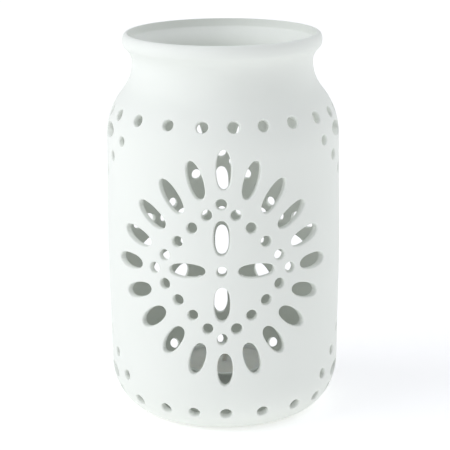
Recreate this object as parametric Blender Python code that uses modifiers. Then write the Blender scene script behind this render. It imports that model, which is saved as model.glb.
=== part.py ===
"""Tealight holder: a pierced porcelain jar with a tealight standing on its floor.

Metres, +Z up. The origin is on the jar's axis, at the surface that its foot
stands on. The front medallion faces -Y.
"""

import math

import bmesh
import bpy
from mathutils import Matrix

# ---------------------------------------------------------------- jar, body
HEIGHT = 0.160
BODY_RADIUS = 0.049
BARREL = 0.0006  # how much slimmer the wall is at its two ends than halfway up
WALL = 0.0028
FLOOR = 0.0040  # top of the floor above the standing surface
CORNER_WIDTH = 0.0153
CORNER_HEIGHT = 0.0204
FOOT_WIDTH = 0.0060
FOOT_RECESS = 0.0012

# ------------------------------------------------------- jar, neck and mouth
SHOULDER_RADIUS = 0.0300
NECK_RADIUS = 0.0374
NECK_FILLET = 0.0185  # the hollow curve from the shoulder up to the narrowest point
FLARE_FILLET = 0.0075  # the hollow curve from there out to the lip
FLARE_ANGLE = math.radians(51)  # how far the flare leans out where the lip starts
LIP_WIDTH = 0.0019
LIP_HEIGHT = 0.0032

# ------------------------------------------------------------ jar, piercing
MEDALLION_TURNS = (-1.0, 181.0)  # degrees round the jar from the front
MEDALLION_RISE = 0.0017  # its middle above halfway between the dot bands
PETAL_COUNT = 20
PETAL_WIDTH_TOP = 0.0061
PETAL_WIDTH_BOTTOM = 0.0066
PETAL_LENGTH_TOP = 0.0160
PETAL_LENGTH_BOTTOM = 0.0138
PETAL_RING_POWER = 1.44  # 1 is a straight-sided diamond, 2 an ellipse
PETAL_RING_GATHER = math.radians(1.0)  # how far the slanting petals turn towards the jar's sides
PETAL_RING_DRIFT = 0.0010  # the ring's top and bottom sit this far round from its medallion's middle
PETAL_RING_PULL = 0.0016  # how much less far, or back the other way, its two sides sit
PETAL_BAND_GAP = 0.0107  # from the ring's highest tip to a dot band's centres, were the ring halfway
PETAL_SIDE_GAP = 0.0273  # from the petals' tips to the middle of the jar's side
MEDALLION_DOT_COUNT = 20
MEDALLION_DOT = 0.0044
MEDALLION_DOT_POWER = 1.1
MEDALLION_DOT_INSET = 0.0134  # from the ring of petals in to the ring of dots
MEDALLION_DOT_DROP = 0.0004
CROSS_WIDTH_UP = 0.0065
CROSS_WIDTH_ROUND = 0.0057
CROSS_HUB = 0.0066  # from the medallion's middle to the cross petals' near tips
CROSS_TIP_GAP = 0.0071  # from the cross petals' far tips to the diamond of dots
BAND_DOT_COUNT = 22
BAND_DOT = 0.0048
UPPER_BAND_TURN = 3.8  # degrees
UPPER_BAND_WAVES = ((2.0, 2, 48), (2.0, 4, 180))
LOWER_BAND_TURN = 2.0
LOWER_BAND_WAVES = ((4.2, 1, 0), (1.5, 5, -90))
UPPER_BAND_DROP = 0.0308  # below the rim
LOWER_BAND_HEIGHT = 0.0103
SIDE_DOT = 0.0042
SIDE_DOT_LEVELS = 3  # dots on each arm of a side chevron, without its tip
SIDE_DOT_STEP_ROUND = 0.0092
SIDE_DOT_STEP_UP = 0.0076
SIDE_BAND_GAP = 0.0096
SIDE_PETAL_LENGTH = 0.0135
SIDE_PETAL_WIDTH = 0.0060
SIDE_PETAL_OFFSET = 0.0118
SIDE_PETAL_BAND_GAP = 0.0072

# ----------------------------------------------------------------- tealight
CUP_RADIUS = 0.0190
CUP_HEIGHT = 0.0140
CUP_SHEET = 0.0003
CUP_BEAD = 0.0005
CUP_BASE_ROUND = 0.0012
WAX_BELOW_RIM = 0.0016
WICK_RADIUS = 0.0009
WICK_ABOVE_WAX = 0.0075
WICK_LEAN = 0.0012
SUSTAINER_RADIUS = 0.0065
SUSTAINER_SHEET = 0.0004
SUSTAINER_NECK_HEIGHT = 0.0040
SUSTAINER_NECK_SHEET = 0.0005

# ------------------------------------------------------- fits and smoothness
GAP = 0.0003  # between pieces that rest on or in each other
JAR_STEPS = 40
TEALIGHT_STEPS = 28
ARC_STEPS = 4
PETAL_SIDES = 10
DOT_SIDES = 8
MERGE = 1e-5
SLOPE_STEP = 1e-5

# ------------------------------------------------------------ derived places
WALL_END_RADIUS = BODY_RADIUS - BARREL
# The lip is a quarter of an ellipse and a little more, and starts where its slope is the flare's.
LIP_TURN = math.atan(LIP_HEIGHT / LIP_WIDTH * math.tan(FLARE_ANGLE))
LIP_START = HEIGHT - LIP_HEIGHT * (1 + math.sin(LIP_TURN))
NECK_HEIGHT = LIP_START - FLARE_FILLET * math.sin(FLARE_ANGLE)
FLARE_WIDTH = FLARE_FILLET * (1 - math.cos(FLARE_ANGLE))
MOUTH_RADIUS = NECK_RADIUS + FLARE_WIDTH + LIP_WIDTH * (1 - math.cos(LIP_TURN))
NECK_CENTRE = NECK_RADIUS + NECK_FILLET
SHOULDER_CENTRE = WALL_END_RADIUS - SHOULDER_RADIUS
# The shoulder and the neck are two arcs that touch, so their centres are this far apart.
ARC_SPAN = SHOULDER_RADIUS + NECK_FILLET
ARC_REACH = NECK_CENTRE - SHOULDER_CENTRE
SHOULDER_HEIGHT = NECK_HEIGHT - math.sqrt(ARC_SPAN**2 - ARC_REACH**2)
TURN_ANGLE = math.acos(ARC_REACH / ARC_SPAN)
UPPER_BAND_HEIGHT = HEIGHT - UPPER_BAND_DROP
MEDALLION_HEIGHT = (UPPER_BAND_HEIGHT + LOWER_BAND_HEIGHT) / 2 + MEDALLION_RISE
FOOT_RADIUS = WALL_END_RADIUS - CORNER_WIDTH


def arc(centre, radii, start, end, steps=ARC_STEPS):
    """(radius, height) points along an elliptical arc, angles from straight out."""
    points = []
    for step in range(steps + 1):
        angle = start + (end - start) * step / steps
        out = centre[0] + radii[0] * math.cos(angle)
        up = centre[1] + radii[1] * math.sin(angle)
        points.append((out, up))
    return points


def wall_radius(height):
    """Outer radius of the slightly barrelled wall between corner and shoulder."""
    middle = (CORNER_HEIGHT + SHOULDER_HEIGHT) / 2
    half = (SHOULDER_HEIGHT - CORNER_HEIGHT) / 2
    return BODY_RADIUS - BARREL * ((height - middle) / half) ** 2


def outer_radius(height):
    """Outer radius of the jar anywhere below its neck."""
    if height < CORNER_HEIGHT:
        drop = 1 - height / CORNER_HEIGHT
        return FOOT_RADIUS + CORNER_WIDTH * math.sqrt(1 - drop**2)
    if height < SHOULDER_HEIGHT:
        return wall_radius(height)
    return SHOULDER_CENTRE + math.sqrt(SHOULDER_RADIUS**2 - (height - SHOULDER_HEIGHT) ** 2)


def wall_middle(inset):
    """The wall's one profile point between shoulder and corner, where it is fullest."""
    return [(BODY_RADIUS - inset, (CORNER_HEIGHT + SHOULDER_HEIGHT) / 2)]


def neck_arc(fillet, thickness, start, end):
    """Part of a hollow curve that touches the neck's narrowest point, angles up from there."""
    centre = NECK_RADIUS + fillet
    size = fillet + thickness
    return [(2 * centre - out, up) for out, up in arc((centre, NECK_HEIGHT), (size, size), start, end)]


def shoulder_arc(thickness, start, end):
    """Part of the shoulder's convex arc, angles up from straight out."""
    size = SHOULDER_RADIUS - thickness
    return arc((SHOULDER_CENTRE, SHOULDER_HEIGHT), (size, size), start, end)


def jar_profile():
    """The jar's section, from its floor up the inside, over the lip and down the outside."""
    corner = (FOOT_RADIUS, CORNER_HEIGHT)
    inner_corner = (CORNER_WIDTH - WALL, CORNER_HEIGHT - FLOOR)
    inside = arc(corner, inner_corner, -math.pi / 2, 0)
    inside += wall_middle(WALL)
    inside += shoulder_arc(WALL, 0, TURN_ANGLE)
    inside += neck_arc(NECK_FILLET, WALL, -TURN_ANGLE, 0)[1:]
    inside += neck_arc(FLARE_FILLET, WALL, 0, FLARE_ANGLE)[1:]

    lip_top = MOUTH_RADIUS - LIP_WIDTH
    inner_end = inside[-1]
    inner_lip = (lip_top - inner_end[0], HEIGHT - inner_end[1])
    lip = arc((lip_top, inner_end[1]), inner_lip, math.pi, math.pi / 2, 3)[1:]
    outer_lip = (lip_top, HEIGHT - LIP_HEIGHT)
    lip += arc(outer_lip, (LIP_WIDTH, LIP_HEIGHT), math.pi / 2, -LIP_TURN, 6)[1:]

    outside = neck_arc(FLARE_FILLET, 0, FLARE_ANGLE, 0)[1:]
    outside += neck_arc(NECK_FILLET, 0, 0, -TURN_ANGLE)[1:]
    outside += reversed(shoulder_arc(0, 0, TURN_ANGLE)[:-1])
    outside += wall_middle(0)
    outside += arc(corner, (CORNER_WIDTH, CORNER_HEIGHT), 0, -math.pi / 2)

    foot_inside = FOOT_RADIUS - FOOT_WIDTH
    underside = [
        (foot_inside, 0),
        (foot_inside - FOOT_RECESS, FOOT_RECESS),
        (0, FOOT_RECESS),
    ]
    return [(0, FLOOR)] + inside + lip + outside + underside


# --------------------------------------------------------------- Blender kit
def clear_scene():
    for obj in list(bpy.data.objects):
        bpy.data.objects.remove(obj, do_unlink=True)


def new_collection(name):
    collection = bpy.data.collections.new(name)
    bpy.context.scene.collection.children.link(collection)
    return collection


def make_material(name, colour, roughness, metallic=0.0):
    material = bpy.data.materials.new(name)
    material.use_nodes = True
    shader = material.node_tree.nodes["Principled BSDF"]
    shader.inputs["Base Color"].default_value = (*colour, 1.0)
    shader.inputs["Roughness"].default_value = roughness
    shader.inputs["Metallic"].default_value = metallic
    return material


def turned(name, profile, steps, material, collection, closed=False):
    """An object made by turning a (radius, height) profile about Z."""
    mesh = bpy.data.meshes.new(name)
    edges = [(index, index + 1) for index in range(len(profile) - 1)]
    if closed:
        edges.append((len(profile) - 1, 0))
    mesh.from_pydata([(out, 0, up) for out, up in profile], edges, [])
    mesh.materials.append(material)
    obj = bpy.data.objects.new(name, mesh)
    collection.objects.link(obj)
    screw = obj.modifiers.new("turn", "SCREW")
    screw.steps = steps
    screw.render_steps = steps
    screw.use_merge_vertices = True
    screw.merge_threshold = MERGE
    screw.use_smooth_shade = True
    return obj


# ------------------------------------------------------------------ piercing
def on_wall(round_the_jar, height, spin=0.0):
    """A frame on the outer surface: X round the jar, Y up its slope, Z straight out.

    round_the_jar is the distance along the widest girth from the front, and
    spin turns the frame about Z.
    """
    angle = round_the_jar / BODY_RADIUS
    slope = (outer_radius(height + SLOPE_STEP) - outer_radius(height - SLOPE_STEP)) / (2 * SLOPE_STEP)
    turn = Matrix.Rotation(angle, 4, "Z")
    place = Matrix.Translation((0, -outer_radius(height), height))
    face_out = Matrix.Rotation(math.pi / 2 + math.atan(slope), 4, "X")
    return turn @ place @ face_out @ Matrix.Rotation(spin, 4, "Z")


def pierce(bm, frame, length, width, sides):
    """Adds a prism across the wall whose outline is an ellipse, its length along the frame's Y."""
    depth = 4 * WALL
    stretch = Matrix.Diagonal((width, length, 1, 1))
    sunk = Matrix.Translation((0, 0, -WALL / 2))
    bmesh.ops.create_cone(
        bm,
        cap_ends=True,
        segments=sides,
        radius1=0.5,
        radius2=0.5,
        depth=depth,
        matrix=frame @ sunk @ stretch,
    )


def pierce_dot(bm, round_the_jar, height, size):
    pierce(bm, on_wall(round_the_jar, height), size, size, DOT_SIDES)


def on_diamond(angle, reach, power):
    """The (round, up) point at an angle from the top of a rounded diamond of that reach."""
    east, up = math.sin(angle), math.cos(angle)
    size = (abs(east / reach[0]) ** power + abs(up / reach[1]) ** power) ** (-1 / power)
    return east * size, up * size


def medallion_reach():
    """How far the ring of petals' centres reaches (round the jar, up) from its middle."""
    petal = (PETAL_LENGTH_TOP + PETAL_LENGTH_BOTTOM) / 4
    quarter_girth = BODY_RADIUS * math.pi / 2
    up = (UPPER_BAND_HEIGHT - LOWER_BAND_HEIGHT) / 2 - PETAL_BAND_GAP - petal
    return quarter_girth - PETAL_SIDE_GAP - petal, up


def pierce_petal_ring(bm, middle, reach):
    for index in range(PETAL_COUNT):
        angle = 2 * math.pi * index / PETAL_COUNT
        angle -= PETAL_RING_GATHER * math.sin(4 * angle)
        east, up = on_diamond(angle, reach, PETAL_RING_POWER)
        topness = (1 + math.cos(angle)) / 2
        length = PETAL_LENGTH_BOTTOM + (PETAL_LENGTH_TOP - PETAL_LENGTH_BOTTOM) * topness
        width = PETAL_WIDTH_BOTTOM + (PETAL_WIDTH_TOP - PETAL_WIDTH_BOTTOM) * topness
        drift = PETAL_RING_DRIFT - PETAL_RING_PULL * math.sin(angle) ** 2
        frame = on_wall(middle + drift + east, MEDALLION_HEIGHT + up, math.atan2(-east, up))
        pierce(bm, frame, length, width, PETAL_SIDES)


def pierce_dot_diamond(bm, middle, reach):
    """Dots spaced evenly along the four sides of a diamond, from its top."""
    per_side = MEDALLION_DOT_COUNT // 4
    for index in range(4 * per_side):
        side, step = divmod(index, per_side)
        angle = side * math.pi / 2 + math.atan2(step, per_side - step)
        east, up = on_diamond(angle, reach, MEDALLION_DOT_POWER)
        pierce_dot(bm, middle + east, MEDALLION_HEIGHT - MEDALLION_DOT_DROP + up, MEDALLION_DOT)


def pierce_cross(bm, middle, reach):
    """Four petals round a dot."""
    pierce_dot(bm, middle, MEDALLION_HEIGHT, MEDALLION_DOT)
    for index in range(4):
        angle = index * math.pi / 2
        length = reach[(index + 1) % 2] - CROSS_TIP_GAP - CROSS_HUB
        out = CROSS_HUB + length / 2
        frame = on_wall(middle + out * math.sin(angle), MEDALLION_HEIGHT + out * math.cos(angle), -angle)
        pierce(bm, frame, length, (CROSS_WIDTH_UP, CROSS_WIDTH_ROUND)[index % 2], PETAL_SIDES)


def pierce_medallion(bm, turn):
    middle = BODY_RADIUS * math.radians(turn)
    petals = medallion_reach()
    dots = tuple(size - MEDALLION_DOT_INSET for size in petals)
    pierce_petal_ring(bm, middle, petals)
    pierce_dot_diamond(bm, middle, dots)
    pierce_cross(bm, middle, dots)


def pierce_band(bm, height, turn, waves):
    """A row of dots all round the jar, its spacing uneven by waves of (degrees, count, degrees)."""
    for index in range(BAND_DOT_COUNT):
        even = 2 * math.pi * index / BAND_DOT_COUNT
        angle = turn + sum(size * math.sin(count * even + math.radians(lead)) for size, count, lead in waves)
        pierce_dot(bm, BODY_RADIUS * (even + math.radians(angle)), height, BAND_DOT)


def pierce_side(bm, side, band, way):
    """A chevron of dots and a pair of petals by a band, way being up or down from it."""
    middle = side * BODY_RADIUS * math.pi / 2
    tip = SIDE_BAND_GAP + SIDE_DOT_LEVELS * SIDE_DOT_STEP_UP
    pierce_dot(bm, middle, band + way * tip, SIDE_DOT)
    for level in range(1, SIDE_DOT_LEVELS + 1):
        height = band + way * (tip - level * SIDE_DOT_STEP_UP)
        for east in (1, -1):
            pierce_dot(bm, middle + east * level * SIDE_DOT_STEP_ROUND, height, SIDE_DOT)
    for east in (SIDE_PETAL_OFFSET, -SIDE_PETAL_OFFSET):
        frame = on_wall(middle + east, band + way * SIDE_PETAL_BAND_GAP, math.pi / 2)
        pierce(bm, frame, SIDE_PETAL_LENGTH, SIDE_PETAL_WIDTH, PETAL_SIDES)


def make_cutter(cutters):
    """One mesh of all the prisms that pierce the jar."""
    bm = bmesh.new()
    for turn in MEDALLION_TURNS:
        pierce_medallion(bm, turn)
    pierce_band(bm, UPPER_BAND_HEIGHT, UPPER_BAND_TURN, UPPER_BAND_WAVES)
    pierce_band(bm, LOWER_BAND_HEIGHT, LOWER_BAND_TURN, LOWER_BAND_WAVES)
    for side in (1, -1):
        pierce_side(bm, side, UPPER_BAND_HEIGHT, -1)
        pierce_side(bm, side, LOWER_BAND_HEIGHT, 1)
    mesh = bpy.data.meshes.new("piercing")
    bm.to_mesh(mesh)
    bm.free()
    cutter = bpy.data.objects.new("piercing", mesh)
    cutters.objects.link(cutter)
    cutter.hide_render = True
    cutter.display_type = "WIRE"
    return cutter


def make_jar(parts, cutters):
    porcelain = make_material("bisque_porcelain", (0.90, 0.91, 0.90), 0.75)
    jar = turned("pierced_jar", jar_profile(), JAR_STEPS, porcelain, parts)
    cut = jar.modifiers.new("pierce", "BOOLEAN")
    cut.operation = "DIFFERENCE"
    cut.solver = "EXACT"
    cut.use_self = True  # on a narrower jar some openings run into each other
    cut.object = make_cutter(cutters)


# ----------------------------------------------------------------- tealight
CUP_BOTTOM = FLOOR + GAP
CUP_TOP = CUP_BOTTOM + CUP_HEIGHT
CANDLE_BOTTOM = CUP_BOTTOM + CUP_SHEET + GAP
WAX_TOP = CUP_TOP - WAX_BELOW_RIM
WICK_BORE = WICK_RADIUS + GAP
SUSTAINER_NECK_RADIUS = WICK_BORE + SUSTAINER_NECK_SHEET
SUSTAINER_NECK_TOP = CANDLE_BOTTOM + SUSTAINER_NECK_HEIGHT


def make_cup(parts, parent):
    """The thin cup, its rim rolled outwards into a bead."""
    base = (CUP_RADIUS - CUP_BASE_ROUND, CUP_BOTTOM + CUP_BASE_ROUND)
    inner = CUP_BASE_ROUND - CUP_SHEET
    bead = (CUP_RADIUS - CUP_SHEET + CUP_BEAD, CUP_TOP - CUP_BEAD)
    profile = [(0, CUP_BOTTOM + CUP_SHEET)]
    profile += arc(base, (inner, inner), -math.pi / 2, 0, 3)
    profile += arc(bead, (CUP_BEAD, CUP_BEAD), math.pi, -math.pi / 2, 6)
    profile.append((CUP_RADIUS, CUP_TOP - 2 * CUP_BEAD))
    profile += arc(base, (CUP_BASE_ROUND, CUP_BASE_ROUND), 0, -math.pi / 2, 3)
    profile.append((0, CUP_BOTTOM))
    aluminium = make_material("cup_aluminium", (0.80, 0.81, 0.82), 0.35, 1.0)
    turned("tealight_cup", profile, TEALIGHT_STEPS, aluminium, parts).parent = parent


def make_wax(parts, parent):
    """The wax, cast round the wick and over the sustainer."""
    base = (CUP_RADIUS - CUP_BASE_ROUND, CUP_BOTTOM + CUP_BASE_ROUND)
    inner = CUP_BASE_ROUND - CUP_SHEET - GAP
    plate_top = CANDLE_BOTTOM + SUSTAINER_SHEET + GAP
    neck_top = SUSTAINER_NECK_TOP + GAP
    profile = [(WICK_BORE, WAX_TOP), (base[0] + inner, WAX_TOP)]
    profile += arc(base, (inner, inner), 0, -math.pi / 2, 3)
    profile += [
        (SUSTAINER_RADIUS + GAP, CANDLE_BOTTOM),
        (SUSTAINER_RADIUS + GAP, plate_top),
        (SUSTAINER_NECK_RADIUS + GAP, plate_top),
        (SUSTAINER_NECK_RADIUS + GAP, neck_top),
        (WICK_BORE, neck_top),
    ]
    wax = make_material("candle_wax", (0.93, 0.91, 0.85), 0.45)
    turned("candle_wax", profile, TEALIGHT_STEPS, wax, parts, closed=True).parent = parent


def make_sustainer(parts, parent):
    """The round plate with a neck that holds the wick up."""
    plate_top = CANDLE_BOTTOM + SUSTAINER_SHEET
    profile = [
        (WICK_BORE, SUSTAINER_NECK_TOP),
        (SUSTAINER_NECK_RADIUS, SUSTAINER_NECK_TOP),
        (SUSTAINER_NECK_RADIUS, plate_top),
        (SUSTAINER_RADIUS, plate_top),
        (SUSTAINER_RADIUS, CANDLE_BOTTOM),
        (WICK_BORE, CANDLE_BOTTOM),
    ]
    tinplate = make_material("tinplate", (0.70, 0.70, 0.70), 0.4, 1.0)
    turned("wick_sustainer", profile, TEALIGHT_STEPS, tinplate, parts, closed=True).parent = parent


def make_wick(parts, parent):
    """The cotton wick, straight in the wax and leaning a little above it."""
    curve = bpy.data.curves.new("wick", "CURVE")
    curve.dimensions = "3D"
    curve.bevel_depth = WICK_RADIUS
    curve.bevel_resolution = 2
    curve.use_fill_caps = True
    spline = curve.splines.new("POLY")
    spline.points.add(ARC_STEPS + 1)
    spline.points[0].co = (0, 0, CANDLE_BOTTOM, 1)
    for step in range(ARC_STEPS + 1):
        share = step / ARC_STEPS
        spline.points[step + 1].co = (WICK_LEAN * share**2, 0, WAX_TOP + WICK_ABOVE_WAX * share, 1)
    curve.materials.append(make_material("wick_cotton", (0.88, 0.86, 0.80), 0.9))
    wick = bpy.data.objects.new("wick", curve)
    parts.objects.link(wick)
    wick.parent = parent


def make_lift(name, parts, parent=None):
    """An empty on the jar's axis that a lifting body's pieces hang from."""
    empty = bpy.data.objects.new(name, None)
    parts.objects.link(empty)
    empty.parent = parent
    return empty


def main():
    clear_scene()
    parts = new_collection("tealight_holder")
    cutters = new_collection("cutters")
    make_jar(parts, cutters)
    tealight = make_lift("tealight_lift", parts)
    candle = make_lift("candle_lift", parts, tealight)
    make_cup(parts, tealight)
    make_wax(parts, candle)
    make_sustainer(parts, candle)
    make_wick(parts, candle)


main()
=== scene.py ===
"""The looks of a pierced porcelain tealight holder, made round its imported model.

Metres, +Z up, in the model's own frame: Z is the jar's axis and its front medallion faces -Y.
The jar's wall is cut out flat, as a sheet with every opening in it, then bent round the
jar's outline and closed with a turned lip, foot and floor. The tealight's pieces are turned.
"""

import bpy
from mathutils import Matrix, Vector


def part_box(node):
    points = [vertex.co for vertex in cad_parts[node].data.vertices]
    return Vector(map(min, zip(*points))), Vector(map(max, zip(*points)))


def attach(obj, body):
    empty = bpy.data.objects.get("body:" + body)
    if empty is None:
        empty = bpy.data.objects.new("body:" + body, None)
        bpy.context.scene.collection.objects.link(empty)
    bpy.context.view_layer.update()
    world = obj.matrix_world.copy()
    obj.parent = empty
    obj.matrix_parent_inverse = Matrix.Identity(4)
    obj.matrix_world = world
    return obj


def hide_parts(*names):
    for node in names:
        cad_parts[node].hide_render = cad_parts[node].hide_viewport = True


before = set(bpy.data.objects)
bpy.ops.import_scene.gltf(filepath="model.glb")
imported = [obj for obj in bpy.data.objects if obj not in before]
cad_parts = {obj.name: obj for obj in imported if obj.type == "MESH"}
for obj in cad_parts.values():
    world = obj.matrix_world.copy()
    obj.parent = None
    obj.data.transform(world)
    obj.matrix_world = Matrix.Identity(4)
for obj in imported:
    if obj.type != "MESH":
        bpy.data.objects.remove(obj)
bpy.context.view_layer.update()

import math
import random

import bmesh
import bpy
import numpy as np
from mathutils import Vector
from mathutils.geometry import intersect_point_line

# ------------------------------------------------------------ jar, outline
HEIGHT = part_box("pierced_jar")[1].z
BODY_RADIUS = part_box("pierced_jar")[1].x
BARREL = 0.0006
WALL = 0.0028
FLOOR = 0.0040
CORNER_WIDTH = 0.0153
CORNER_HEIGHT = 0.0204
FOOT_WIDTH = 0.0060
FOOT_RECESS = 0.0012
FOOT_ROUND = 0.0006
SHOULDER_RADIUS = 0.0300
NECK_RADIUS = 0.0374
NECK_FILLET = 0.0185
FLARE_FILLET = 0.0075
FLARE_ANGLE = math.radians(51)
LIP_WIDTH = 0.0019
LIP_HEIGHT = 0.0032
LIP_EDGE = 0.0004  # rounding of the mouth's inner edge

# ----------------------------------------------------------- jar, piercing
EDGE_ROUND = 0.0006  # how softly every opening's edges are sponged
MEDALLION_TURNS = (-1.0, 181.0)
MEDALLION_RISE = 0.0017
PETAL_COUNT = 20
PETAL_WIDTH_TOP = 0.0061
PETAL_WIDTH_BOTTOM = 0.0066
PETAL_BLUNT = (0.62, 0.70)  # how full a petal's outer and inner ends are, against ROUND_END
PETAL_LENGTH_TOP = 0.0160
PETAL_LENGTH_BOTTOM = 0.0138
PETAL_RING_POWER = 1.44
PETAL_RING_GATHER = math.radians(1.0)
PETAL_RING_DRIFT = 0.0010
PETAL_RING_PULL = 0.0016
PETAL_BAND_GAP = 0.0107
PETAL_SIDE_GAP = 0.0273
MEDALLION_DOT_COUNT = 20
MEDALLION_DOT = 0.0044
MEDALLION_DOT_POWER = 1.1
MEDALLION_DOT_INSET = 0.0134
MEDALLION_DOT_DROP = 0.0004
CROSS_WIDTH_UP = 0.0065
CROSS_WIDTH_ROUND = 0.0057
CROSS_BLUNT = (0.74, 0.74)
CROSS_HUB = 0.0066
CROSS_TIP_GAP = 0.0071
BAND_DOT_COUNT = 22
BAND_DOT = 0.0048
UPPER_BAND_TURN = 3.8  # degrees
UPPER_BAND_WAVES = ((2.0, 2, 48), (2.0, 4, 180))
LOWER_BAND_TURN = 2.0
LOWER_BAND_WAVES = ((4.2, 1, 0), (1.5, 5, -90))
UPPER_BAND_DROP = 0.0308
LOWER_BAND_HEIGHT = 0.0103
SIDE_DOT = 0.0042
SIDE_DOT_LEVELS = 3
SIDE_DOT_STEP_ROUND = 0.0092
SIDE_DOT_STEP_UP = 0.0076
SIDE_BAND_GAP = 0.0096
SIDE_PETAL_LENGTH = 0.0135
SIDE_PETAL_WIDTH = 0.0060
SIDE_PETAL_OFFSET = 0.0118
SIDE_PETAL_BAND_GAP = 0.0072
ROUND_END = 0.5523  # a Bezier handle's share of the half width for an even round
HAND = random.Random(7)  # the small unevenness of holes cut by hand
HAND_SIZE = 0.05  # the share by which a width goes wrong at most
HAND_SHIFT = 0.0003
HAND_TILT = 0.05  # radians

# ------------------------------------------------------------- smoothness
CORNER_STEPS = 60  # of the outline, part by part
WALL_STEPS = 60
SHOULDER_STEPS = 40
NECK_STEPS = 30
FLARE_STEPS = 20
JAR_STEPS = 120  # round the jar
ROW_STEP = 0.0026  # up it
SHEET_START = 0.0046  # height where the pierced sheet gives way to the turned foot
SEAM_TURN = 63.0  # degrees round the jar, where no opening crosses the sheet's ends
TEALIGHT_STEPS = 96
MERGE = 4e-6  # points nearer than this are one
SHEET_MERGE = 1e-6  # the same on the flat sheet
SLICE_SNAP = 1e-7  # and where it is sliced
FLATNESS = math.radians(0.05)  # faces that meet straighter than this are one
DOT_STEPS = 5  # in a quarter of a dot
PETAL_STEPS = 8  # in a quarter of a petal
DOT_LIMIT = 0.008  # openings shorter than this count as dots
SEAM_GAP = 0.0003  # how far the seam's two sides may bow apart before they are welded
SEAM_END = 0.002  # the share of an edge, at its ends, that needs no new point

# --------------------------------------------------------- derived places
JAR_GIRTH = 2 * math.pi * BODY_RADIUS
WALL_END_RADIUS = BODY_RADIUS - BARREL
FOOT_RADIUS = WALL_END_RADIUS - CORNER_WIDTH
LIP_TURN = math.atan(LIP_HEIGHT / LIP_WIDTH * math.tan(FLARE_ANGLE))
LIP_START = HEIGHT - LIP_HEIGHT * (1 + math.sin(LIP_TURN))
NECK_HEIGHT = LIP_START - FLARE_FILLET * math.sin(FLARE_ANGLE)
FLARE_WIDTH = FLARE_FILLET * (1 - math.cos(FLARE_ANGLE))
MOUTH_RADIUS = NECK_RADIUS + FLARE_WIDTH + LIP_WIDTH * (1 - math.cos(LIP_TURN))
SHOULDER_CENTRE = WALL_END_RADIUS - SHOULDER_RADIUS
ARC_SPAN = SHOULDER_RADIUS + NECK_FILLET
ARC_REACH = NECK_RADIUS + NECK_FILLET - SHOULDER_CENTRE
SHOULDER_HEIGHT = NECK_HEIGHT - math.sqrt(ARC_SPAN**2 - ARC_REACH**2)
TURN_ANGLE = math.acos(ARC_REACH / ARC_SPAN)
UPPER_BAND_HEIGHT = HEIGHT - UPPER_BAND_DROP
MEDALLION_HEIGHT = (UPPER_BAND_HEIGHT + LOWER_BAND_HEIGHT) / 2 + MEDALLION_RISE


# ------------------------------------------------------------ Blender kit
def activate(obj):
    bpy.ops.object.select_all(action="DESELECT")
    obj.select_set(True)
    bpy.context.view_layer.objects.active = obj


def new_object(name, data):
    obj = bpy.data.objects.new(name, data)
    bpy.context.scene.collection.objects.link(obj)
    return obj


def join(name, pieces):
    """One object of several, their touching edges merged and every face turned outwards."""
    activate(pieces[0])
    for piece in pieces[1:]:
        piece.select_set(True)
    bpy.ops.object.join()
    obj = bpy.context.object
    obj.name = obj.data.name = name
    bpy.ops.object.mode_set(mode="EDIT")
    bpy.ops.mesh.select_all(action="SELECT")
    bpy.ops.mesh.remove_doubles(threshold=MERGE)
    bpy.ops.mesh.normals_make_consistent(inside=False)
    bpy.ops.object.mode_set(mode="OBJECT")
    return obj


def arc(centre, radii, start, end, steps):
    """(radius, height) points along an elliptical arc, angles from straight out."""
    points = []
    for step in range(steps + 1):
        angle = start + (end - start) * step / steps
        out, up = radii[0] * math.cos(angle), radii[1] * math.sin(angle)
        points.append((centre[0] + out, centre[1] + up))
    return points


def rounded(start, corner, end, steps):
    """(radius, height) points of the curve that leaves start and meets end heading for corner."""
    points = []
    for step in range(steps + 1):
        t = step / steps
        weights = ((1 - t) ** 2, 2 * t * (1 - t), t**2)
        pairs = list(zip(weights, (start, corner, end)))
        points.append(tuple(sum(weight * point[i] for weight, point in pairs) for i in (0, 1)))
    return points


def turned(name, profile, steps, turn=0.0):
    """An object made by spinning a (radius, height) profile about Z."""
    angle = math.radians(turn)
    mesh = bpy.data.meshes.new(name)
    points = [(out * math.sin(angle), -out * math.cos(angle), up) for out, up in profile]
    mesh.from_pydata(points, [(i, i + 1) for i in range(len(points) - 1)], [])
    obj = new_object(name, mesh)
    activate(obj)
    bpy.ops.object.mode_set(mode="EDIT")
    bpy.ops.mesh.select_all(action="SELECT")
    bpy.ops.mesh.spin(steps=steps, angle=2 * math.pi, center=(0, 0, 0), axis=(0, 0, 1))
    bpy.ops.mesh.select_all(action="SELECT")
    bpy.ops.mesh.remove_doubles(threshold=MERGE)
    bpy.ops.mesh.normals_make_consistent(inside=False)
    bpy.ops.object.mode_set(mode="OBJECT")
    bpy.ops.object.shade_smooth()
    return obj


# -------------------------------------------------------- the jar's outline
def wall_radius(height):
    """The slightly barrelled wall between corner and shoulder."""
    middle = (CORNER_HEIGHT + SHOULDER_HEIGHT) / 2
    half = (SHOULDER_HEIGHT - CORNER_HEIGHT) / 2
    return WALL_END_RADIUS + BARREL * (1 + math.cos(math.pi * (height - middle) / half)) / 2


def hollow_arc(fillet, start, end, steps):
    """Part of a hollow curve that touches the neck's narrowest point."""
    centre = NECK_RADIUS + fillet
    mirrored = arc((centre, NECK_HEIGHT), (fillet, fillet), start, end, steps)
    return [(2 * centre - out, up) for out, up in mirrored]


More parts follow.
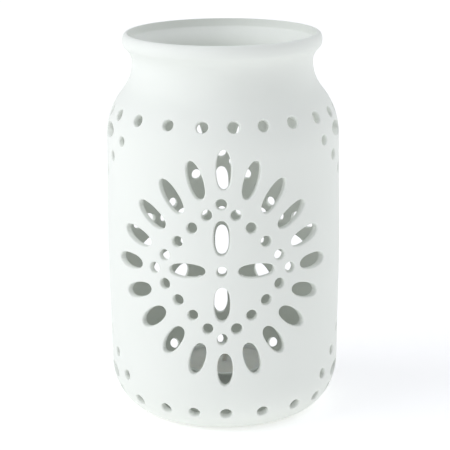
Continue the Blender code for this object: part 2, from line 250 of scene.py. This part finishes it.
def jar_outline():
    """(radius, height) points up the outside, from the foot to where the lip starts."""
    corner = (FOOT_RADIUS, CORNER_HEIGHT)
    points = arc(corner, (CORNER_WIDTH, CORNER_HEIGHT), -math.pi / 2, 0, CORNER_STEPS)
    rise = np.linspace(CORNER_HEIGHT, SHOULDER_HEIGHT, WALL_STEPS)[1:]
    points += [(wall_radius(height), height) for height in rise]
    shoulder = (SHOULDER_CENTRE, SHOULDER_HEIGHT)
    size = (SHOULDER_RADIUS, SHOULDER_RADIUS)
    points += arc(shoulder, size, 0, TURN_ANGLE, SHOULDER_STEPS)[1:]
    points += hollow_arc(NECK_FILLET, -TURN_ANGLE, 0, NECK_STEPS)[1:]
    points += hollow_arc(FLARE_FILLET, 0, FLARE_ANGLE, FLARE_STEPS)[1:]
    return np.array(points)


OUTLINE = jar_outline()
ALONG = np.concatenate([[0], np.cumsum(np.hypot(*np.diff(OUTLINE, axis=0).T))])
SLOPE = np.gradient(OUTLINE, ALONG, axis=0)
LEAN = np.arctan2(-SLOPE[:, 0], SLOPE[:, 1])  # how far the surface faces up
SHEET_BOTTOM = float(np.interp(SHEET_START, OUTLINE[:, 1], ALONG))
SHEET_TOP = float(ALONG[-1])


def up_the_wall(height):
    """(distance along the outline, radius) at a height."""
    along = float(np.interp(height, OUTLINE[:, 1], ALONG))
    return along, float(np.interp(along, ALONG, OUTLINE[:, 0]))


# ------------------------------------------------------ cutting the sheet
def cut_oval(sheet, round_the_jar, height, spin, size, blunt=(ROUND_END, ROUND_END)):
    """Cuts an oval, (width, length) in size, whose length is turned by spin from straight up.

    blunt says how full its upper and lower ends are.
    """
    along, radius = up_the_wall(height)
    turn = round_the_jar / BODY_RADIUS
    lap = math.ceil((turn - math.radians(SEAM_TURN)) / (2 * math.pi))
    side, half = size[0] / 2, size[1] / 2
    reach = half * ROUND_END
    ring = (
        ((0, half), (-side * blunt[0], half), (side * blunt[0], half)),
        ((side, 0), (side, reach), (side, -reach)),
        ((0, -half), (side * blunt[1], -half), (-side * blunt[1], -half)),
        ((-side, 0), (-side, -reach), (-side, reach)),
    )

    def place(point):
        east = point[0] * math.cos(spin) - point[1] * math.sin(spin)
        up = point[0] * math.sin(spin) + point[1] * math.cos(spin)
        return round_the_jar - lap * JAR_GIRTH + east * BODY_RADIUS / radius, along + up, 0

    spline = sheet.splines.new("BEZIER")
    spline.bezier_points.add(3)
    spline.use_cyclic_u = True
    spline.resolution_u = DOT_STEPS if size[1] < DOT_LIMIT else PETAL_STEPS
    for point, (middle, before, after) in zip(spline.bezier_points, ring):
        point.handle_left_type = point.handle_right_type = "FREE"
        point.co = place(middle)
        point.handle_left = place(before)
        point.handle_right = place(after)


def by_hand():
    """A factor by which a hand misses a size."""
    return HAND.uniform(1 - HAND_SIZE, 1 + HAND_SIZE)


def cut_dot(sheet, round_the_jar, height, size):
    """A drilled hole, as round as a hand makes it."""
    shape = (size * by_hand(), size * by_hand())
    cut_oval(sheet, round_the_jar, height, HAND.uniform(0, math.pi), shape)


def on_diamond(angle, reach, power):
    """The (round, up) point at an angle from the top of a rounded diamond of that reach."""
    east, up = math.sin(angle), math.cos(angle)
    size = (abs(east / reach[0]) ** power + abs(up / reach[1]) ** power) ** (-1 / power)
    return east * size, up * size


def medallion_reach():
    """How far the ring of petals' centres reaches (round the jar, up) from its middle."""
    petal = (PETAL_LENGTH_TOP + PETAL_LENGTH_BOTTOM) / 4
    up = (UPPER_BAND_HEIGHT - LOWER_BAND_HEIGHT) / 2 - PETAL_BAND_GAP - petal
    return JAR_GIRTH / 4 - PETAL_SIDE_GAP - petal, up


def cut_petal_ring(sheet, middle, reach):
    """The medallion's outer ring: petals that point away from its middle."""
    for index in range(PETAL_COUNT):
        angle = 2 * math.pi * index / PETAL_COUNT
        angle -= PETAL_RING_GATHER * math.sin(4 * angle)
        east, up = on_diamond(angle, reach, PETAL_RING_POWER)
        topness = (1 + math.cos(angle)) / 2
        length = PETAL_LENGTH_BOTTOM + (PETAL_LENGTH_TOP - PETAL_LENGTH_BOTTOM) * topness
        width = PETAL_WIDTH_BOTTOM + (PETAL_WIDTH_TOP - PETAL_WIDTH_BOTTOM) * topness
        size = (width * by_hand(), length)
        drift = PETAL_RING_DRIFT - PETAL_RING_PULL * math.sin(angle) ** 2
        spin = math.atan2(-east, up)
        cut_oval(sheet, middle + drift + east, MEDALLION_HEIGHT + up, spin, size, PETAL_BLUNT)


def cut_dot_diamond(sheet, middle, reach):
    """The diamond of dots inside the ring, the same number on each side."""
    per_side = MEDALLION_DOT_COUNT // 4
    for index in range(4 * per_side):
        side, step = divmod(index, per_side)
        angle = side * math.pi / 2 + math.atan2(step, per_side - step)
        east, up = on_diamond(angle, reach, MEDALLION_DOT_POWER)
        cut_dot(sheet, middle + east, MEDALLION_HEIGHT - MEDALLION_DOT_DROP + up, MEDALLION_DOT)


def cut_cross(sheet, middle, reach):
    """The four long petals in the middle, round one dot."""
    cut_dot(sheet, middle, MEDALLION_HEIGHT, MEDALLION_DOT)
    for index in range(4):
        angle = index * math.pi / 2
        length = reach[(index + 1) % 2] - CROSS_TIP_GAP - CROSS_HUB
        out = CROSS_HUB + length / 2
        height = MEDALLION_HEIGHT + out * math.cos(angle)
        size = ((CROSS_WIDTH_UP, CROSS_WIDTH_ROUND)[index % 2], length)
        cut_oval(sheet, middle + out * math.sin(angle), height, -angle, size, CROSS_BLUNT)


def cut_medallion(sheet, turn):
    """One whole medallion, turn degrees round the jar from its front."""
    middle = BODY_RADIUS * math.radians(turn)
    petals = medallion_reach()
    dots = tuple(size - MEDALLION_DOT_INSET for size in petals)
    cut_petal_ring(sheet, middle, petals)
    cut_dot_diamond(sheet, middle, dots)
    cut_cross(sheet, middle, dots)


def cut_band(sheet, height, turn, waves):
    """A row of dots all round the jar.

    Waves of (size in degrees, waves a turn, lead in degrees) make its spacing uneven.
    """
    for index in range(BAND_DOT_COUNT):
        even = 2 * math.pi * index / BAND_DOT_COUNT
        angle = turn
        for size, count, lead in waves:
            angle += size * math.sin(count * even + math.radians(lead))
        cut_dot(sheet, BODY_RADIUS * (even + math.radians(angle)), height, BAND_DOT)


def cut_side(sheet, side, band, way):
    """A chevron of dots and a pair of petals by a band, way being up or down from it."""
    middle = side * JAR_GIRTH / 4
    tip = SIDE_BAND_GAP + SIDE_DOT_LEVELS * SIDE_DOT_STEP_UP
    cut_dot(sheet, middle, band + way * tip, SIDE_DOT)
    for level in range(1, SIDE_DOT_LEVELS + 1):
        height = band + way * (tip - level * SIDE_DOT_STEP_UP)
        for east in (1, -1):
            cut_dot(sheet, middle + east * level * SIDE_DOT_STEP_ROUND, height, SIDE_DOT)
    size = (SIDE_PETAL_WIDTH, SIDE_PETAL_LENGTH)
    for east in (SIDE_PETAL_OFFSET, -SIDE_PETAL_OFFSET):
        height = band + way * SIDE_PETAL_BAND_GAP + HAND.uniform(-HAND_SHIFT, HAND_SHIFT)
        spin = math.pi / 2 + HAND.uniform(-HAND_TILT, HAND_TILT)
        cut_oval(sheet, middle + east, height, spin, size)


def sheet_curve():
    """The jar's wall laid flat, X round the jar and Y up it, with every opening cut."""
    sheet = bpy.data.curves.new("wall_sheet", "CURVE")
    sheet.dimensions = "2D"
    sheet.fill_mode = "BOTH"
    sheet.extrude = WALL / 2 - EDGE_ROUND
    sheet.bevel_depth = EDGE_ROUND
    sheet.bevel_resolution = 2
    sheet.offset = -EDGE_ROUND
    right = BODY_RADIUS * math.radians(SEAM_TURN) + WALL
    left = right - JAR_GIRTH - 2 * WALL
    low, high = SHEET_BOTTOM - WALL, SHEET_TOP + WALL
    border = sheet.splines.new("POLY")
    border.points.add(3)
    corners = ((left, low), (right, low), (right, high), (left, high))
    for point, place in zip(border.points, corners):
        point.co = (*place, 0, 1)
    border.use_cyclic_u = True
    for turn in MEDALLION_TURNS:
        cut_medallion(sheet, turn)
    cut_band(sheet, UPPER_BAND_HEIGHT, UPPER_BAND_TURN, UPPER_BAND_WAVES)
    cut_band(sheet, LOWER_BAND_HEIGHT, LOWER_BAND_TURN, LOWER_BAND_WAVES)
    for side in (1, -1):
        cut_side(sheet, side, UPPER_BAND_HEIGHT, -1)
        cut_side(sheet, side, LOWER_BAND_HEIGHT, 1)
    return sheet


def slice_flat(bm, place, across, drop=None):
    """Cuts the whole sheet at X or Y = place, and drops what lies beyond it."""
    geometry = bm.verts[:] + bm.edges[:] + bm.faces[:]
    point, normal = ((place, 0, 0), (1, 0, 0)) if across else ((0, place, 0), (0, 1, 0))
    bmesh.ops.bisect_plane(
        bm,
        geom=geometry,
        dist=SLICE_SNAP,
        plane_co=point,
        plane_no=normal,
        clear_outer=drop == "beyond",
        clear_inner=drop == "before",
    )


def trim_and_grid(bm):
    """Trims the sheet to the jar's girth and height, and scores it so that it can bend."""
    right = BODY_RADIUS * math.radians(SEAM_TURN)
    left = right - JAR_GIRTH
    slice_flat(bm, right, True, "beyond")
    slice_flat(bm, left, True, "before")
    slice_flat(bm, SHEET_TOP, False, "beyond")
    slice_flat(bm, SHEET_BOTTOM, False, "before")
    bmesh.ops.dissolve_limit(bm, angle_limit=FLATNESS, verts=bm.verts, edges=bm.edges)
    for step in range(1, JAR_STEPS):
        slice_flat(bm, left + JAR_GIRTH * step / JAR_STEPS, True)
    rows = round((SHEET_TOP - SHEET_BOTTOM) / ROW_STEP)
    for row in range(1, rows):
        slice_flat(bm, SHEET_BOTTOM + (SHEET_TOP - SHEET_BOTTOM) * row / rows, False)
    bmesh.ops.triangulate(bm, faces=[face for face in bm.faces if len(face.verts) > 4])


def bend_round(mesh, flat, facing):
    """Bends the flat sheet round the outline, and the way that its surface faces with it."""
    turn = flat[:, 0] / BODY_RADIUS
    lean = np.interp(flat[:, 1], ALONG, LEAN)
    out = np.stack([np.sin(turn), -np.cos(turn), np.zeros_like(turn)], axis=1)
    east = np.stack([np.cos(turn), np.sin(turn), np.zeros_like(turn)], axis=1)
    rise = np.array([0.0, 0.0, 1.0])
    cos, sin = np.cos(lean)[:, None], np.sin(lean)[:, None]
    normal = cos * out + sin * rise
    upward = cos * rise - sin * out
    radius = np.interp(flat[:, 1], ALONG, OUTLINE[:, 0])[:, None]
    height = np.interp(flat[:, 1], ALONG, OUTLINE[:, 1])[:, None]
    places = radius * out + height * rise + flat[:, 2:] * normal
    normals = facing[:, :1] * east + facing[:, 1:2] * upward + facing[:, 2:] * normal
    mesh.vertices.foreach_set("co", places.ravel())
    bent = mesh.attributes.new("bent_normal", "FLOAT_VECTOR", "POINT")
    bent.data.foreach_set("vector", normals.ravel())


def pierced_wall():
    """The wall between foot and lip: cut flat, scored, then bent to its round shape."""
    obj = new_object("wall", sheet_curve())
    activate(obj)
    bpy.ops.object.convert(target="MESH")
    obj = bpy.context.object
    bm = bmesh.new()
    bm.from_mesh(obj.data)
    bmesh.ops.remove_doubles(bm, verts=bm.verts, dist=SHEET_MERGE)
    trim_and_grid(bm)
    bmesh.ops.recalc_face_normals(bm, faces=bm.faces[:])
    highest = max(bm.faces, key=lambda face: face.calc_center_median().z)
    if highest.normal.z < 0:
        bmesh.ops.reverse_faces(bm, faces=bm.faces[:])
    bm.normal_update()
    flat = np.array([vert.co[:] for vert in bm.verts])
    facing = np.array([vert.normal[:] for vert in bm.verts])
    bm.to_mesh(obj.data)
    bm.free()
    on_skin = np.abs(flat[:, 2]) > WALL / 2 - SHEET_MERGE
    facing[on_skin] = np.sign(flat[on_skin, 2:]) * np.array([0, 0, 1])
    flat[:, 2] -= WALL / 2
    bend_round(obj.data, flat, facing)
    return obj


def skin_end(along, depth):
    """(radius, height) and lean on a skin of the wall, at one end of the sheet."""
    lean = float(np.interp(along, ALONG, LEAN))
    radius = float(np.interp(along, ALONG, OUTLINE[:, 0])) - depth * math.cos(lean)
    height = float(np.interp(along, ALONG, OUTLINE[:, 1])) - depth * math.sin(lean)
    return (radius, height), lean


def to_middle(radius, height):
    """Points from a radius in to the axis, without the first."""
    return [(radius * share, height) for share in (0.75, 0.5, 0.25, 0)]


def lip_profile():
    """From the flare's outer skin over the lip and down to its inner skin."""
    lip_top = MOUTH_RADIUS - LIP_WIDTH
    mouth = lip_top - LIP_EDGE
    (inner, inner_height), lean = skin_end(SHEET_TOP, WALL)
    start, _ = skin_end(SHEET_TOP, 0)
    points = [start]
    centre, size = (lip_top, HEIGHT - LIP_HEIGHT), (LIP_WIDTH, LIP_HEIGHT)
    points += arc(centre, size, -LIP_TURN, math.pi / 2, 18)[1:]
    points += rounded((lip_top, HEIGHT), (mouth, HEIGHT), (mouth, HEIGHT - LIP_EDGE), 5)[1:]
    bend = inner_height + (mouth - inner) / math.tan(-lean)
    points += rounded((mouth, bend + LIP_EDGE), (mouth, bend), (inner, inner_height), 6)
    return points


def foot_profile():
    """From the wall's outer skin round the corner and the foot to the middle of the underside."""
    start, _ = skin_end(SHEET_BOTTOM, 0)
    corner = (FOOT_RADIUS, CORNER_HEIGHT)
    angle = math.asin((start[1] - CORNER_HEIGHT) / CORNER_HEIGHT)
    points = [start]
    points += arc(corner, (CORNER_WIDTH, CORNER_HEIGHT), angle, -math.pi / 2, 14)[1:]
    inside = FOOT_RADIUS - FOOT_WIDTH
    points += rounded((inside + FOOT_ROUND, 0), (inside, 0), (inside, FOOT_ROUND), 4)
    recess = inside - FOOT_ROUND
    points += rounded((inside, FOOT_ROUND), (inside, FOOT_RECESS), (recess, FOOT_RECESS), 4)[1:]
    points += to_middle(recess, FOOT_RECESS)
    return points


def floor_profile():
    """From the wall's inner skin down to the middle of the floor."""
    start, lean = skin_end(SHEET_BOTTOM, WALL)
    heel = start[0] - (start[1] - FLOOR) / math.tan(-lean)
    flat = heel - 2 * (start[1] - FLOOR)
    points = rounded(start, (heel, FLOOR), (flat, FLOOR), 8)
    points += to_middle(flat, FLOOR)
    return points


def weld_seam(mesh):
    """Gives both sides of the wall's seam the same points, then merges them."""
    bm = bmesh.new()
    bm.from_mesh(mesh)
    open_edges = [edge for edge in bm.edges if edge.is_boundary]
    open_verts = [vert for vert in bm.verts if vert.is_boundary]
    for vert in open_verts:
        for edge in open_edges:
            near, share = intersect_point_line(vert.co, edge.verts[0].co, edge.verts[1].co)
            within = SEAM_END < share < 1 - SEAM_END and (near - vert.co).length < SEAM_GAP
            if within and vert not in edge.verts:
                added_edge, added = bmesh.utils.edge_split(edge, edge.verts[0], share)
                added.co = vert.co
                open_edges.append(added_edge)
                break
    bmesh.ops.remove_doubles(bm, verts=bm.verts[:], dist=MERGE)
    bm.to_mesh(mesh)
    bm.free()


def make_jar(material):
    """The pierced wall with its lip, foot and floor, shaded smoothly across their joins."""
    wall = pierced_wall()
    lip = turned("lip", lip_profile(), JAR_STEPS, SEAM_TURN)
    foot = turned("foot", foot_profile(), JAR_STEPS, SEAM_TURN)
    floor = turned("floor", floor_profile(), JAR_STEPS, SEAM_TURN)
    jar = join("porcelain_jar", [wall, lip, foot, floor])
    mesh = jar.data
    weld_seam(mesh)
    mesh.shade_smooth()
    normals = np.zeros(len(mesh.vertices) * 3)
    mesh.vertices.foreach_get("normal", normals)
    normals = normals.reshape(-1, 3)
    bent = np.zeros(len(mesh.vertices) * 3)
    mesh.attributes["bent_normal"].data.foreach_get("vector", bent)
    bent = bent.reshape(-1, 3)
    on_sheet = np.linalg.norm(bent, axis=1) > 0.5
    normals[on_sheet] = bent[on_sheet]
    mesh.attributes.remove(mesh.attributes["bent_normal"])
    mesh.normals_split_custom_set_from_vertices(normals)
    mesh.materials.clear()
    mesh.materials.append(material)
    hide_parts("pierced_jar")
    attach(jar, "holder")


# --------------------------------------------------------------- materials
SHADE_SPAN = (0.3, 0.7)  # where in a texture its two tones start


def shader_inputs(material):
    return material.node_tree.nodes["Principled BSDF"].inputs


def new_material(name, colour, roughness, metallic=0.0):
    """A material of one colour and roughness, which textures may then vary."""
    material = bpy.data.materials.new(name)
    material.use_nodes = True
    inputs = shader_inputs(material)
    inputs["Base Color"].default_value = (*colour, 1)
    inputs["Roughness"].default_value = roughness
    inputs["Metallic"].default_value = metallic
    return material


def add_node(material, kind, **values):
    """A new node, with values for those of its inputs that are named."""
    node = material.node_tree.nodes.new(kind)
    for name, value in values.items():
        node.inputs[name.replace("_", " ")].default_value = value
    return node


def noise(material, scale, detail=3.0, stretch=(1, 1, 1)):
    """A noise texture on object coordinates, scale in features a metre."""
    coordinates = material.node_tree.nodes.new("ShaderNodeTexCoord")
    mapping = add_node(material, "ShaderNodeMapping", Scale=stretch)
    texture = add_node(material, "ShaderNodeTexNoise", Scale=scale, Detail=detail)
    link = material.node_tree.links.new
    link(coordinates.outputs["Object"], mapping.inputs["Vector"])
    link(mapping.outputs["Vector"], texture.inputs["Vector"])
    return texture


def shade(material, texture, dark, light):
    """Colours the material between two tones by a texture."""
    ramp = material.node_tree.nodes.new("ShaderNodeValToRGB")
    for stop, place, tone in zip(ramp.color_ramp.elements, SHADE_SPAN, (dark, light)):
        stop.position = place
        stop.color = (*tone, 1)
    link = material.node_tree.links.new
    link(texture.outputs["Fac"], ramp.inputs["Fac"])
    link(ramp.outputs["Color"], shader_inputs(material)["Base Color"])


def roughen(material, texture, least, most):
    """Varies the roughness by a texture."""
    span = material.node_tree.nodes.new("ShaderNodeMapRange")
    span.inputs["To Min"].default_value = least
    span.inputs["To Max"].default_value = most
    link = material.node_tree.links.new
    link(texture.outputs["Fac"], span.inputs["Value"])
    link(span.outputs["Result"], shader_inputs(material)["Roughness"])


def bump(material, textures):
    """Adds (texture, height in metres) pairs as relief, one on the other."""
    link = material.node_tree.links.new
    last = None
    for texture, height in textures:
        node = add_node(material, "ShaderNodeBump", Distance=height)
        link(texture.outputs["Fac"], node.inputs["Height"])
        if last:
            link(last.outputs["Normal"], node.inputs["Normal"])
        last = node
    link(last.outputs["Normal"], shader_inputs(material)["Normal"])


def bisque_porcelain():
    """Unglazed white porcelain, sponged smooth, with a fine tooth."""
    material = new_material("bisque_porcelain", (0.80, 0.82, 0.805), 0.62)
    shader_inputs(material)["Specular IOR Level"].default_value = 0.35
    shade(material, noise(material, 28, 4), (0.840, 0.868, 0.815), (0.856, 0.882, 0.832))
    roughen(material, noise(material, 160), 0.55, 0.70)
    tooth = noise(material, 2600, 2)
    sponge = noise(material, 120, 2)
    bump(material, [(sponge, 0.00004), (tooth, 0.000012)])
    return material


def drawn_aluminium():
    """Thin aluminium with the faint lines that drawing leaves up its sides."""
    material = new_material("drawn_aluminium", (0.92, 0.93, 0.93), 0.5, 1.0)
    lines = noise(material, 900, 2, (1, 1, 0.03))
    roughen(material, noise(material, 300), 0.44, 0.58)
    bump(material, [(lines, 0.00001), (noise(material, 90, 2), 0.00006)])
    return material


def paraffin_wax():
    """Milky wax that light enters."""
    material = new_material("paraffin_wax", (0.90, 0.88, 0.83), 0.38)
    inputs = shader_inputs(material)
    inputs["Subsurface Weight"].default_value = 0.4
    inputs["Subsurface Radius"].default_value = (1.0, 0.85, 0.65)
    inputs["Subsurface Scale"].default_value = 0.003
    shade(material, noise(material, 220, 3), (0.86, 0.865, 0.82), (0.90, 0.90, 0.86))
    roughen(material, noise(material, 500), 0.30, 0.48)
    bump(material, [(noise(material, 350, 3), 0.00005)])
    return material


def waxed_cotton():
    """Braided cotton, stiffened by a coat of wax."""
    material = new_material("waxed_cotton", (0.88, 0.86, 0.79), 0.7)
    shader_inputs(material)["Sheen Weight"].default_value = 0.25
    strands = noise(material, 2500, 3, (1, 1, 0.3))
    shade(material, strands, (0.78, 0.75, 0.68), (0.92, 0.90, 0.84))
    bump(material, [(strands, 0.00005)])
    return material


def stamped_tinplate():
    """Tinned sheet steel as it leaves the press."""
    material = new_material("stamped_tinplate", (0.66, 0.66, 0.65), 0.36, 1.0)
    roughen(material, noise(material, 700), 0.28, 0.46)
    bump(material, [(noise(material, 1200, 2), 0.000008)])
    return material


# ---------------------------------------------------------------- tealight
CUP_LOW, CUP_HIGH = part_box("tealight_cup")
WAX_LOW, WAX_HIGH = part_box("candle_wax")
PLATE_LOW, PLATE_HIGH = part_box("wick_sustainer")
WICK_LOW, WICK_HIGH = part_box("wick")
CUP_SHEET = 0.0003
CUP_BEAD = 0.0005
CUP_RADIUS = 0.0190
CUP_BASE_ROUND = 0.0012
CUP_PRESS = 0.00012  # how far the middle of the base is pressed up
CUP_PRESS_STEP = 0.0006
CUP_PRESS_SHARE = 0.55
GAP = 0.0003  # round the wax, against the cup and the sustainer
BORE = 0.0012  # of the wax and the sustainer, round the wick
WAX_DIP = 0.0004  # how far the wax sinks between wick and cup
WAX_CLING = 0.0004
WAX_RISE_AT_WICK = 0.0016  # from here to the wick it is drawn up
WAX_RISE_AT_CUP = 0.0022  # and from here to the cup
SUSTAINER_SHEET = 0.0004
SUSTAINER_NECK_SHEET = 0.0005
SUSTAINER_EDGE = 0.0002
SUSTAINER_FILLET = 0.0003
SUSTAINER_STEPS = 48
TURNED_CREASE = math.radians(40)  # edges sharper than this stay sharp
WICK_CREASE = math.radians(50)
WICK_BEND = 0.0012
WICK_END = 0.0002
STRAND_SHARE = 0.46  # a strand's radius against the wick's
STRAND_FILL = 0.98
BRAID_DEPTH = 0.8
BRAID_TURNS = 9
BRAID_STEPS = 150


def make_cup(material):
    """The cup's sheet, its rim rolled outwards and its base pressed up a little."""
    low, high = CUP_LOW.z, CUP_HIGH.z
    top = low + CUP_SHEET
    base = (CUP_RADIUS - CUP_BASE_ROUND, low + CUP_BASE_ROUND)
    inner = CUP_BASE_ROUND - CUP_SHEET
    bead = (CUP_RADIUS - CUP_SHEET + CUP_BEAD, high - CUP_BEAD)
    press, step = CUP_PRESS, CUP_PRESS_STEP
    dish = CUP_RADIUS * CUP_PRESS_SHARE
    profile = [(0, top + press), (dish - step, top + press)]
    profile += rounded(profile[-1], (dish, top + press), (dish + step, top), 4)[1:]
    profile += arc(base, (inner, inner), -math.pi / 2, 0, 6)
    profile += arc(bead, (CUP_BEAD, CUP_BEAD), math.pi, -math.pi / 2, 16)
    profile.append((CUP_RADIUS, high - 2 * CUP_BEAD))
    profile += arc(base, (CUP_BASE_ROUND, CUP_BASE_ROUND), 0, -math.pi / 2, 8)
    profile += rounded((dish + step, low), (dish, low + press), (dish - step, low + press), 4)
    profile.append((0, low + press))
    cup = turned("aluminium_cup", profile, TEALIGHT_STEPS)
    finish_piece(cup, material, "tealight_cup", "tealight")


def make_wax(material):
    """The wax: drawn up a little at the cup and at the wick, and hollow over the sustainer."""
    low, high = WAX_LOW.z, WAX_HIGH.z
    edge, level = WAX_HIGH.x, high - WAX_DIP
    inner = CUP_BASE_ROUND - CUP_SHEET - GAP
    plate = PLATE_HIGH.x + GAP
    plate_top = PLATE_LOW.z + SUSTAINER_SHEET + GAP
    neck, neck_top = BORE + SUSTAINER_NECK_SHEET + GAP, PLATE_HIGH.z + GAP
    profile = rounded((BORE, high), (BORE + WAX_CLING, level), (BORE + WAX_RISE_AT_WICK, level), 5)
    profile += [(edge * share, level) for share in (0.3, 0.5, 0.7)]
    profile += rounded((edge - WAX_RISE_AT_CUP, level), (edge - WAX_CLING, level), (edge, high), 6)
    profile += arc((edge - inner, low + inner), (inner, inner), 0, -math.pi / 2, 4)
    profile += [(plate, low), (plate, plate_top), (neck, plate_top)]
    profile += [(neck, neck_top), (BORE, neck_top), profile[0]]
    wax = turned("wax_fill", profile, TEALIGHT_STEPS)
    activate(wax)
    bpy.ops.object.shade_smooth_by_angle(angle=TURNED_CREASE)
    finish_piece(wax, material, "candle_wax", "candle")


def make_sustainer(material):
    """The round plate with its neck pinched on the wick."""
    low, high = PLATE_LOW.z, PLATE_HIGH.z
    plate, top = PLATE_HIGH.x, low + SUSTAINER_SHEET
    neck, edge = BORE + SUSTAINER_NECK_SHEET, SUSTAINER_EDGE
    profile = [(BORE, low), (BORE, high - edge), (BORE + edge, high), (neck - edge / 2, high)]
    profile += [(neck, high - edge), (neck, top + SUSTAINER_FILLET)]
    profile += rounded(profile[-1], (neck, top), (neck + SUSTAINER_FILLET, top), 3)[1:]
    profile += rounded((plate - edge, top), (plate, top), (plate, low + edge), 3)
    profile += [(plate - edge, low), (BORE, low)]
    sustainer = turned("tinplate_sustainer", profile, SUSTAINER_STEPS)
    activate(sustainer)
    bpy.ops.object.shade_smooth_by_angle(angle=TURNED_CREASE)
    finish_piece(sustainer, material, "wick_sustainer", "candle")


def make_wick(material):
    """Three cotton strands braided round each other, leaning a little above the wax."""
    low, high = WICK_LOW.z, WICK_HIGH.z
    radius = -WICK_LOW.x
    strand = radius * STRAND_SHARE
    swing = radius - strand
    curve = bpy.data.curves.new("braid", "CURVE")
    curve.dimensions = "3D"
    curve.bevel_depth = strand * STRAND_FILL
    curve.bevel_resolution = 2
    curve.use_fill_caps = True
    wax_top = WAX_HIGH.z
    for index in range(3):
        spline = curve.splines.new("POLY")
        spline.points.add(BRAID_STEPS)
        for step in range(BRAID_STEPS + 1):
            share = step / BRAID_STEPS
            height = low + WICK_END + (high - low - 2 * WICK_END) * share
            phase = 2 * math.pi * (BRAID_TURNS * share + index / 3)
            above = max(0.0, (height - wax_top) / (high - wax_top))
            x = swing * math.cos(phase) + WICK_BEND * above**2
            y = BRAID_DEPTH * swing * math.sin(2 * phase)
            spline.points[step].co = (x, y, height, 1)
    wick = new_object("braided_wick", curve)
    activate(wick)
    bpy.ops.object.convert(target="MESH")
    wick = bpy.context.object
    bpy.ops.object.mode_set(mode="EDIT")
    bpy.ops.mesh.select_all(action="SELECT")
    bpy.ops.mesh.remove_doubles(threshold=MERGE)
    bpy.ops.object.mode_set(mode="OBJECT")
    bpy.ops.object.shade_smooth_by_angle(angle=WICK_CREASE)
    finish_piece(wick, material, "wick", "candle")


def finish_piece(piece, material, node, body):
    """Gives a piece its material, hides the imported part that it stands for, and hangs it on its
    body.
    """
    piece.data.materials.clear()
    piece.data.materials.append(material)
    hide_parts(node)
    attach(piece, body)


# ------------------------------------------------------------------ studio
CAMERA_PLACE = (0.0, -0.6463, 0.2544)
CAMERA_PITCH = 15.31  # degrees down
CAMERA_ROLL = -0.45  # degrees
CAMERA_LENS = 126.34  # millimetres, as is the sensor
CAMERA_SENSOR = 36
CAMERA_SHIFT = 0.0030
SKY_COLOUR = (0.93, 0.945, 1.0)
SKY_STRENGTH = 0.46
SOFTBOX_COLOUR = (0.955, 0.965, 1.0)
SOFTBOXES = (  # name, place, size, power
    ("key", (-1.3, -0.35, 1.2), 1.6, 15.5),
    ("fill", (-0.3, -1.3, 1.1), 1.0, 2.2),
    ("rim", (1.1, 0.6, 0.8), 1.2, 6.0),
)
FLOOR_SIZE = 8
FLOOR_GLOW = (0.2, 1.6, 0.31, 0.54)  # two distances from the jar, and the strength at each


def make_camera():
    data = bpy.data.cameras.new("camera")
    data.lens = CAMERA_LENS
    data.sensor_width = CAMERA_SENSOR
    data.shift_x = CAMERA_SHIFT
    camera = new_object("camera", data)
    camera.location = CAMERA_PLACE
    camera.rotation_euler = (math.radians(90 - CAMERA_PITCH), 0, 0)
    camera.rotation_euler.rotate_axis("Z", math.radians(CAMERA_ROLL))
    bpy.context.scene.camera = camera


def make_light(name, place, size, power):
    """A softbox that faces the jar's middle."""
    data = bpy.data.lights.new(name, "AREA")
    data.shape = "SQUARE"
    data.size = size
    data.energy = power
    data.color = SOFTBOX_COLOUR
    light = new_object(name, data)
    light.location = place
    toward = Vector((0, 0, HEIGHT / 2)) - Vector(place)
    light.rotation_euler = toward.to_track_quat("-Z", "Y").to_euler()


def make_floor():
    """A plain pale floor that glows, more so far off than by the jar."""
    bpy.ops.object.select_all(action="DESELECT")
    bpy.ops.mesh.primitive_plane_add(size=FLOOR_SIZE, location=(0, 0, 0))
    floor = bpy.context.object
    floor.name = "studio_floor"
    material = new_material("pale_floor", (0.93, 0.93, 0.93), 0.9)
    inputs = shader_inputs(material)
    inputs["Specular IOR Level"].default_value = 0.1
    inputs["Emission Color"].default_value = (1, 1, 1, 1)
    nodes, links = material.node_tree.nodes, material.node_tree.links
    place = nodes.new("ShaderNodeTexCoord")
    away = nodes.new("ShaderNodeVectorMath")
    away.operation = "LENGTH"
    glow = nodes.new("ShaderNodeMapRange")
    for name, value in zip(("From Min", "From Max", "To Min", "To Max"), FLOOR_GLOW):
        glow.inputs[name].default_value = value
    links.new(place.outputs["Object"], away.inputs[0])
    links.new(away.outputs["Value"], glow.inputs["Value"])
    links.new(glow.outputs["Result"], inputs["Emission Strength"])
    floor.data.materials.append(material)


def make_studio():
    world = bpy.data.worlds.new("studio")
    world.use_nodes = True
    background = world.node_tree.nodes["Background"]
    background.inputs["Color"].default_value = (*SKY_COLOUR, 1)
    background.inputs["Strength"].default_value = SKY_STRENGTH
    bpy.context.scene.world = world
    make_floor()
    for name, place, size, power in SOFTBOXES:
        make_light(name, place, size, power)
    bpy.context.scene.view_settings.view_transform = "Standard"


def main():
    make_camera()
    make_studio()
    make_jar(bisque_porcelain())
    make_cup(drawn_aluminium())
    make_wax(paraffin_wax())
    make_sustainer(stamped_tinplate())
    make_wick(waxed_cotton())
    bpy.ops.object.select_all(action="DESELECT")


main()
